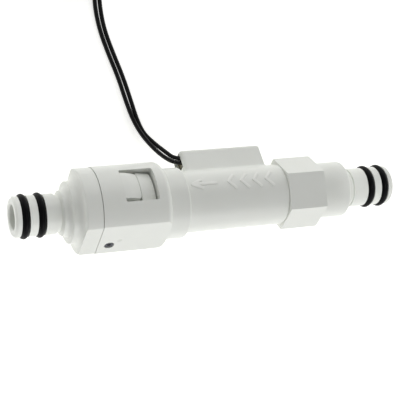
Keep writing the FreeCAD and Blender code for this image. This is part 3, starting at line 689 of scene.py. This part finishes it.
def tie_place(distance, across, height):
    """A point of the tie from its distance to the coil's axis, its place across the strap and its height."""
    turn = math.radians(TIE_ANGLE)
    return Vector((COIL_CENTRE[0] + distance * math.cos(turn) - across * math.sin(turn),
                   COIL_CENTRE[1] + distance * math.sin(turn) + across * math.cos(turn), height)) * MM


def add_block(work, low, high):
    """A box of the tie between two corners, each a distance, a place across and a height."""
    corners = [work.verts.new(tie_place(distance, across, height)) for distance in (low[0], high[0])
               for across in (low[1], high[1]) for height in (low[2], high[2])]
    for face in ((0, 1, 3, 2), (4, 6, 7, 5), (0, 4, 5, 1), (2, 3, 7, 6), (0, 2, 6, 4), (1, 5, 7, 3)):
        work.faces.new([corners[i] for i in face])


def lead_points(route, radius, turns, tail):
    """Control points of one lead in millimetres: its route, its coil and the straight end."""
    points = list(route)
    step = math.tau / TURN_POINTS
    outside = radius / math.cos(step / 2)
    for k in range(round(turns * TURN_POINTS)):
        angle = (k + 0.5) * step
        height = COIL_START_HEIGHT + TURN_PITCH * angle / math.tau
        points.append((COIL_CENTRE[0] + outside * math.cos(angle),
                       COIL_CENTRE[1] + outside * math.sin(angle), height))
    angle = math.tau * turns
    height = COIL_START_HEIGHT + TURN_PITCH * turns
    points.append((COIL_CENTRE[0] + radius * math.cos(angle) - tail * math.sin(angle),
                   COIL_CENTRE[1] + radius * math.sin(angle) + tail * math.cos(angle), height))
    return points


def lay_lead(side, insulation):
    """One lead as a smooth curve with the wire's round section."""
    curve = bpy.data.curves.new("lead_%s_wire" % side, "CURVE")
    curve.dimensions = "3D"
    route, radius, turns, tail, others = LEADS[side]
    points = lead_points(route, radius, turns, tail)
    spline = curve.splines.new("NURBS")
    spline.points.add(len(points) - 1)
    for place, point in zip(spline.points, points):
        place.co = (*[part * MM for part in point], 1.0)
    spline.order_u = 3
    spline.use_endpoint_u = True
    spline.resolution_u = 6
    curve.bevel_depth = LEAD_DIAMETER / 2 * MM
    curve.bevel_resolution = 5
    curve.use_fill_caps = True
    curve.materials.append(insulation)
    lead = new_object(curve.name, curve)
    hand_over(lead, HOUSING, "lead_insulation", "lead_" + side, "lead_%s_coil" % side)


def aim_camera(scene, lens):
    """Sets up the camera at the photograph's viewing angle."""
    camera = bpy.data.cameras.new("photo_camera")
    camera.lens = lens
    camera.sensor_width = SENSOR_WIDTH
    view = new_object("photo_camera", camera)
    place = Vector(CAMERA_PLACE) * MM
    back = (place - Vector(CAMERA_AIM) * MM).normalized()
    right = Vector(CAMERA_UP).cross(back).normalized()
    turn = Matrix((right, back.cross(right), back)).transposed()
    view.matrix_world = Matrix.Translation(place) @ turn.to_4x4()
    scene.camera = view


def light_tent(scene, settings):
    """A white tent over the table: brighter low down and on the inlet's side, and plain in the picture."""
    world = bpy.data.worlds.new("studio")
    scene.world = world
    world.use_nodes = True
    tree = world.node_tree
    tree.nodes.clear()
    way = add_node(tree, "ShaderNodeTexCoord").outputs["Generated"]
    parts = add_node(tree, "ShaderNodeSeparateXYZ", {"Vector": way}).outputs
    above = add_node(tree, "ShaderNodeMath", {0: parts["Z"], 1: 0.0}, operation="MAXIMUM")
    low_sky = add_node(tree, "ShaderNodeMath", {0: 1.0, 1: above.outputs[0]}, operation="SUBTRACT")
    band = add_node(tree, "ShaderNodeMath", {0: low_sky.outputs[0], 1: settings.falloff}, operation="POWER")
    outlet = add_node(tree, "ShaderNodeMapRange", {
        "Value": parts["X"], "From Min": -1.0, "From Max": 1.0, "To Min": settings.outlet_share,
        "To Max": 2.0 - settings.outlet_share})
    tent = add_node(tree, "ShaderNodeMath", {0: band.outputs[0], 1: outlet.outputs["Result"]},
                    operation="MULTIPLY")
    level = add_node(tree, "ShaderNodeMath", {0: tent.outputs[0], 1: settings.horizon, 2: settings.zenith},
                     operation="MULTIPLY_ADD")
    seen = add_node(tree, "ShaderNodeLightPath").outputs["Is Camera Ray"]
    shown = add_node(tree, "ShaderNodeMix", {0: seen, 2: level.outputs[0], 3: settings.backdrop})
    sky = add_node(tree, "ShaderNodeBackground", {"Strength": shown.outputs[0]})
    add_node(tree, "ShaderNodeOutputWorld", {"Surface": sky.outputs["Background"]})


def hang_softbox(name, power):
    """A rectangular softbox that faces a spot on the flow axis and stays out of the picture."""
    place, along, size, spread = SOFTBOXES[name]
    lamp = bpy.data.lights.new(name, "AREA")
    lamp.shape = "RECTANGLE"
    lamp.size, lamp.size_y = size
    lamp.spread = math.radians(spread)
    lamp.energy = power
    box = new_object(name, lamp)
    box.location = place
    aim = AXIS + Vector((along, 0.0, 0.0))
    box.rotation_euler = (aim - box.location).to_track_quat("-Z", "Y").to_euler()
    box.visible_camera = False


def lay_floor(board):
    """The flat floor under the switch."""
    mesh = bpy.data.meshes.new("floor")
    half = FLOOR_HALF
    corners = [(-half, -half, 0), (half, -half, 0), (half, half, 0), (-half, half, 0)]
    mesh.from_pydata(corners, [], [(0, 1, 2, 3)])
    floor = add_piece("floor", mesh, board)
    floor.location.z = CAD_BOX[0][2] - FLOOR_GAP


class MouldingSettings(PropertyGroup):
    """Sizes and colours of the moulded housing."""
    plastic: FloatVectorProperty(
        name="Plastic", description="Colour of the white mouldings", subtype="COLOR", size=3,
        min=0.0, max=1.0, default=linear("EDEFEA"))
    plastic_shade: FloatVectorProperty(
        name="Plastic shade", description="Colour of the faint flow marks in the mouldings", subtype="COLOR",
        size=3, min=0.0, max=1.0, default=linear("E7E9E3"))
    edge_break: FloatProperty(
        name="Edge break", description="Width of the round on moulded edges", unit="LENGTH",
        default=0.12 * MM)


class SealSettings(PropertyGroup):
    """Finish of the O-rings."""
    rubber: FloatVectorProperty(
        name="Rubber", description="Colour of the seals", subtype="COLOR", size=3, min=0.0, max=1.0,
        default=linear("030304"))
    flash: FloatProperty(
        name="Flash", description="Height of the mould line on the rings", unit="LENGTH", default=0.03 * MM)


class MarkSettings(PropertyGroup):
    """Raised flow marks on the barrel."""
    barrel_radius: FloatProperty(
        name="Barrel radius", description="Outside of the barrel", unit="LENGTH", default=11.1 * MM)
    stroke: FloatProperty(
        name="Stroke", description="Width of a raised stroke", unit="LENGTH", default=1.2 * MM)
    relief: FloatProperty(
        name="Relief", description="Height of the strokes above the barrel", unit="LENGTH", default=0.3 * MM)
    pitch: FloatProperty(
        name="Pitch", description="Distance from one chevron to the next", unit="LENGTH", default=4.9 * MM)
    chevrons: IntProperty(name="Chevrons", description="Number of chevrons in the row", default=4, min=1)


class PinSettings(PropertyGroup):
    """Steel pin in the wrench flat."""
    along: FloatProperty(
        name="Along", description="Place along the flow axis", unit="LENGTH", default=-40.3 * MM)
    side: FloatProperty(name="Side", description="Place across the flat", unit="LENGTH", default=-3.4 * MM)
    radius: FloatProperty(name="Radius", description="Radius of the pin", unit="LENGTH", default=1.7 * MM)
    top: FloatProperty(
        name="Top", description="Pin's end from the flow axis", unit="LENGTH", default=12.7 * MM)


class SpringSettings(PropertyGroup):
    """Winding of the return spring."""
    wire: FloatProperty(name="Wire", description="Diameter of the wire", unit="LENGTH", default=0.7 * MM)
    mean_diameter: FloatProperty(
        name="Mean diameter", description="Diameter at the middle of the wire", unit="LENGTH",
        default=9.8 * MM)
    turns: FloatProperty(name="Turns", description="All turns of the spring", default=9.0)
    closed_turns: FloatProperty(name="Closed turns", description="Closed turns at each end", default=1.0)


class LeadSettings(PropertyGroup):
    """Wire of the leads."""
    insulation: FloatVectorProperty(
        name="Insulation", description="Colour of the insulation", subtype="COLOR", size=3, min=0.0, max=1.0,
        default=linear("070708"))
    strands: IntProperty(name="Strands", description="Strands around the middle one", default=6, min=3)
    strand_turns: FloatProperty(
        name="Strand turns", description="Twist of the bare end, in turns", default=0.8)
    strap_width: FloatProperty(name="Strap", description="Width of the tie", unit="LENGTH", default=2.2 * MM)


class StageSettings(PropertyGroup):
    """Camera, floor and light of the studio."""
    lens: FloatProperty(name="Lens", description="Focal length of the camera", unit="CAMERA", default=115.2)
    floor: FloatVectorProperty(
        name="Floor", description="Colour of the floor", subtype="COLOR", size=3, min=0.0, max=1.0,
        default=linear("F6F6F4"))
    glow: FloatProperty(name="Glow", description="Light that the floor gives", default=0.68)
    zenith: FloatProperty(name="Zenith", description="Light of the tent overhead", default=0.305)
    horizon: FloatProperty(
        name="Horizon", description="Extra light of the tent at table height", default=0.6)
    falloff: FloatProperty(name="Falloff", description="How fast the tent darkens upwards", default=1.0)
    outlet_share: FloatProperty(
        name="Outlet side", description="Share of light from the outlet side", default=0.3)
    backdrop: FloatProperty(
        name="Backdrop", description="Brightness of the tent's wall in the picture", default=1.25)
    near_softbox: FloatProperty(
        name="Near softbox", description="Power of the softbox on the near side", unit="POWER", default=1.15)
    far_softbox: FloatProperty(
        name="Far softbox", description="Power of the softbox on the pocket's side", unit="POWER",
        default=0.55)
    outlet_softbox: FloatProperty(
        name="Outlet softbox", description="Power of the small softbox over the outlet", unit="POWER",
        default=0.00015)
    inlet_softbox: FloatProperty(
        name="Inlet softbox", description="Power of the small softbox over the inlet", unit="POWER",
        default=0.0002)


class FLOWSWITCH_OT_housing(Operator):
    """Builds the three white mouldings"""
    bl_idname = "flow_switch.housing"
    bl_label = "Housing"

    def execute(self, context):
        settings = context.scene.flow_switch_moulding
        plastic = material_of("moulded_acetal", moulded_acetal, settings.plastic, settings.plastic_shade)
        for node in ("main_body", "outlet_fitting", "inlet_fitting"):
            copy_node(node, node + "_moulding", plastic, HOUSING, "white_housing", settings.edge_break)
        return {"FINISHED"}


class FLOWSWITCH_OT_seals(Operator):
    """Moulds the O-rings of the spigots and of the two joints"""
    bl_idname = "flow_switch.seals"
    bl_label = "O-rings"

    def execute(self, context):
        settings = context.scene.flow_switch_seals
        rubber = material_of("moulded_nitrile_rubber", nitrile_rubber, settings.rubber)
        for node in SEALS:
            name = node + "_ring"
            ring = add_piece(name, seal_mesh(name, node, settings.flash), rubber)
            hand_over(ring, HOUSING, "black_rubber", node)
        return {"FINISHED"}


class FLOWSWITCH_OT_marks(Operator):
    """Raises the flow arrow and the row of plain chevrons on the barrel"""
    bl_idname = "flow_switch.marks"
    bl_label = "Flow marks"

    def execute(self, context):
        settings = context.scene.flow_switch_marks
        # The marks' lighter colour is a painted highlight, not a different plastic
        plastic = finish_of("polished_acetal")
        wrapped_mark("flow_arrow", ARROW, settings, 1, plastic)
        wrapped_mark("flow_chevrons", CHEVRON, settings, settings.chevrons, plastic)
        return {"FINISHED"}


class FLOWSWITCH_OT_pin(Operator):
    """Sets the dark steel pin into the hole in the wrench flat"""
    bl_idname = "flow_switch.pin"
    bl_label = "Pin"

    def execute(self, context):
        settings = context.scene.flow_switch_pin
        middle = AXIS + Vector((settings.along, 0.0, 0.0)) + WINDOW_WAY * settings.side
        work = bmesh.new()
        rings = []
        for share, drop in PIN_PROFILE:
            ring = []
            for i in range(PIN_STEPS):
                angle = math.tau * i / PIN_STEPS
                out = Vector((math.cos(angle), 0.0, 0.0)) + WINDOW_WAY * math.sin(angle)
                ring.append(work.verts.new(
                    middle + out * (settings.radius * share) - POCKET_WAY * (settings.top - drop * MM)))
            rings.append(ring)
        close_rings(work, rings, False)
        work.faces.new(rings[0])
        work.faces.new(rings[-1])
        pin = add_piece("flange_pin", made_mesh(work, "flange_pin"), finish_of("blackened_steel"))
        hand_over(pin, HOUSING, "spring_steel")
        return {"FINISHED"}


class FLOWSWITCH_OT_mechanism(Operator):
    """Builds the piston with its washer, magnet and cap, and the seat of the spring"""
    bl_idname = "flow_switch.mechanism"
    bl_label = "Mechanism"

    def execute(self, context):
        edge = context.scene.flow_switch_moulding.edge_break
        natural = finish_of("natural_acetal")
        rubber = material_of("moulded_nitrile_rubber", nitrile_rubber, context.scene.flow_switch_seals.rubber)
        ferrite = finish_of("sintered_ferrite")
        for node in ("piston", "magnet_cap"):
            copy_node(node, node + "_moulding", natural, PISTON, "natural_acetal", edge)
        copy_node("spring_seat", "spring_seat_moulding", natural, HOUSING, "natural_acetal", edge)
        copy_node("piston_magnet", "piston_magnet_ring", ferrite, PISTON, "ferrite", edge)
        copy_node("poppet_seal", "poppet_seal_washer", rubber, PISTON, "black_rubber", edge)
        return {"FINISHED"}


class FLOWSWITCH_OT_spring(Operator):
    """Winds the return spring at the imported spring's length; the real one shortens as the piston comes"""
    bl_idname = "flow_switch.spring"
    bl_label = "Return spring"

    def execute(self, context):
        settings = context.scene.flow_switch_spring
        steel = finish_of("drawn_spring_steel")
        low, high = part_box("return_spring")
        length = high.x - low.x
        mesh = grown(tree_of("wound_wire", wound_wire_tree), "return_spring_coil", {
            "Length": length - settings.wire, "Radius": settings.mean_diameter / 2,
            "Wire radius": settings.wire / 2, "Turns": settings.turns, "Closed turns": settings.closed_turns,
            "Copies": 1, "Points": SPRING_POINTS, "Material": steel})
        mesh.transform(Matrix.Translation((low.x + settings.wire / 2, AXIS.y, AXIS.z)))
        spring = hand_over(add_piece(mesh.name, shade_smooth(mesh), steel), HOUSING, "spring_steel",
                           "return_spring")
        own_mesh(spring)
        return {"FINISHED"}


class FLOWSWITCH_OT_reed(Operator):
    """Builds the reed capsule, its wiring and the potting that closes the pocket"""
    bl_idname = "flow_switch.reed"
    bl_label = "Reed switch"

    def execute(self, context):
        strip = finish_of("nickel_iron_strip")
        tin = finish_of("tinned_copper")
        copy_node("reed_glass", "reed_glass_capsule", finish_of("reed_capsule_glass"), HOUSING, "reed_glass")
        for node in ("reed_blade_fixed", "reed_blade_moving"):
            copy_node(node, node + "_strip", strip, HOUSING, "reed_metal")
        for node in ("reed_crimp_front", "reed_crimp_rear"):
            copy_node(node, node + "_sleeve", tin, HOUSING, "tinned_copper")
        copy_node("reed_return_wire", "reed_return_wire_run", tin, HOUSING, "tinned_copper")
        potting = pour("reed_potting", "reed_potting_pour", finish_of("cast_epoxy"))
        hand_over(potting, HOUSING, "potting_resin", "reed_potting")
        return {"FINISHED"}


class FLOWSWITCH_OT_cores(Operator):
    """Twists the bare strands at the leads' far ends"""
    bl_idname = "flow_switch.cores"
    bl_label = "Bare ends"

    def execute(self, context):
        settings = context.scene.flow_switch_leads
        tin = finish_of("tinned_copper")
        twist = tree_of("wound_wire", wound_wire_tree)
        for side, ahead in BARE_END_WAYS.items():
            name = "lead_%s_strands" % side
            low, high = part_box("lead_%s_core" % side)
            reach = high - low
            length = max(reach)
            # Three strands lie side by side across the bare end, so each radius is a sixth of its width
            thin = min(reach) / 6
            facts = {"Length": length, "Wire radius": thin, "Closed turns": 0.0, "Points": STRAND_POINTS,
                     "Material": tin}
            around = grown(twist, name, {
                **facts, "Radius": 2 * thin, "Turns": settings.strand_turns, "Copies": settings.strands})
            middle = grown(twist, name + "_middle", {
                **facts, "Radius": 0.0, "Turns": STRAIGHT_TURNS, "Copies": 1})
            work = bmesh.new()
            work.from_mesh(around)
            work.from_mesh(middle)
            turn = Vector((1, 0, 0)).rotation_difference(ahead).to_matrix().to_4x4()
            place = (low + high) / 2 - ahead * (length / 2)
            bmesh.ops.transform(work, matrix=Matrix.Translation(place) @ turn, verts=work.verts)
            piece = add_piece(name, made_mesh(work, name), tin)
            hand_over(piece, HOUSING, "tinned_copper", "lead_%s_core" % side)
        return {"FINISHED"}


class FLOWSWITCH_OT_tie(Operator):
    """Straps the coil of spare lead with a ribbed tie"""
    bl_idname = "flow_switch.tie"
    bl_label = "Tie"

    def execute(self, context):
        half = context.scene.flow_switch_leads.strap_width / MM / 2
        nylon = finish_of("moulded_nylon")
        work = bmesh.new()
        outline = [strap_outline(offset) for offset in (-TIE_THICKNESS / 2, TIE_THICKNESS / 2)]
        rings = []
        for inside, outside in zip(*outline):
            rings.append([work.verts.new(tie_place(d, a, h)) for (d, h), a in (
                (inside, -half), (outside, -half), (outside, half), (inside, half))])
        close_rings(work, rings, True)
        add_block(work, *TIE_HEAD)
        add_block(work, *TIE_TAIL)
        strap = add_piece("lead_tie_strap", made_mesh(work, "lead_tie_strap"), nylon)
        soften(strap, TIE_EDGE * MM)
        ribs = bpy.data.meshes.new("lead_tie_rib_line")
        line = [tie_place(d, 0.0, h) for d, h in strap_outline(TIE_THICKNESS / 2)]
        ribs.from_pydata(line, [(i, (i + 1) % len(line)) for i in range(len(line))], [])
        ribs = grown(tree_of("cross_ribs", cross_ribs_tree), "lead_tie_ribs", {
            "Pitch": RIB_PITCH * MM, "Width": RIB_SHARE * 2 * half * MM, "Height": RIB_HEIGHT * MM,
            "Material": nylon}, ribs)
        hand_over(strap, HOUSING, "tie_nylon", "lead_tie")
        hand_over(add_piece("lead_tie_ribs", ribs, nylon), HOUSING, "tie_nylon")
        return {"FINISHED"}


class FLOWSWITCH_OT_leads(Operator):
    """Lays the two leads along their routes and winds their spare length into a coil"""
    bl_idname = "flow_switch.leads"
    bl_label = "Leads"

    def execute(self, context):
        settings = context.scene.flow_switch_leads
        insulation = material_of("extruded_pvc", black_plastic, settings.insulation, INSULATION_ROUGHNESS)
        for side in LEADS:
            lay_lead(side, insulation)
        return {"FINISHED"}


class FLOWSWITCH_OT_stage(Operator):
    """Sets up the floor, the light and the camera"""
    bl_idname = "flow_switch.stage"
    bl_label = "Stage"

    def execute(self, context):
        settings = context.scene.flow_switch_stage
        scene = context.scene
        scene.view_settings.view_transform = "Standard"
        aim_camera(scene, settings.lens)
        light_tent(scene, settings)
        for name in SOFTBOXES:
            hang_softbox(name, getattr(settings, name))
        lay_floor(material_of("white_board", painted_board, settings.floor, settings.glow))
        return {"FINISHED"}


class FLOWSWITCH_PT_sidebar(Panel):
    """Lists the settings and the pieces of the flow switch"""
    bl_idname = "FLOWSWITCH_PT_sidebar"
    bl_label = "Flow switch"
    bl_space_type = "VIEW_3D"
    bl_region_type = "UI"
    bl_category = "Flow switch"

    def draw(self, context):
        for name, group in SETTINGS.items():
            for setting in group.__annotations__:
                self.layout.prop(getattr(context.scene, name), setting)
        for operator in OPERATORS:
            self.layout.operator(operator.bl_idname)


OPERATORS = (
    FLOWSWITCH_OT_housing, FLOWSWITCH_OT_seals, FLOWSWITCH_OT_marks, FLOWSWITCH_OT_pin,
    FLOWSWITCH_OT_mechanism, FLOWSWITCH_OT_spring, FLOWSWITCH_OT_reed, FLOWSWITCH_OT_cores,
    FLOWSWITCH_OT_tie, FLOWSWITCH_OT_leads, FLOWSWITCH_OT_stage,
)
SETTINGS = {
    "flow_switch_moulding": MouldingSettings,
    "flow_switch_seals": SealSettings,
    "flow_switch_marks": MarkSettings,
    "flow_switch_pin": PinSettings,
    "flow_switch_spring": SpringSettings,
    "flow_switch_leads": LeadSettings,
    "flow_switch_stage": StageSettings,
}


def register():
    """Registers the settings, the operators and the panel."""
    for name, group in SETTINGS.items():
        bpy.utils.register_class(group)
        setattr(bpy.types.Scene, name, PointerProperty(type=group))
    for operator in OPERATORS:
        bpy.utils.register_class(operator)
    bpy.utils.register_class(FLOWSWITCH_PT_sidebar)


def unregister():
    """Takes away what register added."""
    bpy.utils.unregister_class(FLOWSWITCH_PT_sidebar)
    for operator in reversed(OPERATORS):
        bpy.utils.unregister_class(operator)
    for name, group in SETTINGS.items():
        delattr(bpy.types.Scene, name)
        bpy.utils.unregister_class(group)


def main():
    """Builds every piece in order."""
    register()
    bpy.ops.flow_switch.housing()
    bpy.ops.flow_switch.seals()
    bpy.ops.flow_switch.marks()
    bpy.ops.flow_switch.pin()
    bpy.ops.flow_switch.mechanism()
    bpy.ops.flow_switch.spring()
    bpy.ops.flow_switch.reed()
    bpy.ops.flow_switch.cores()
    bpy.ops.flow_switch.tie()
    bpy.ops.flow_switch.leads()
    bpy.ops.flow_switch.stage()


if __name__ == "__main__":
    main()
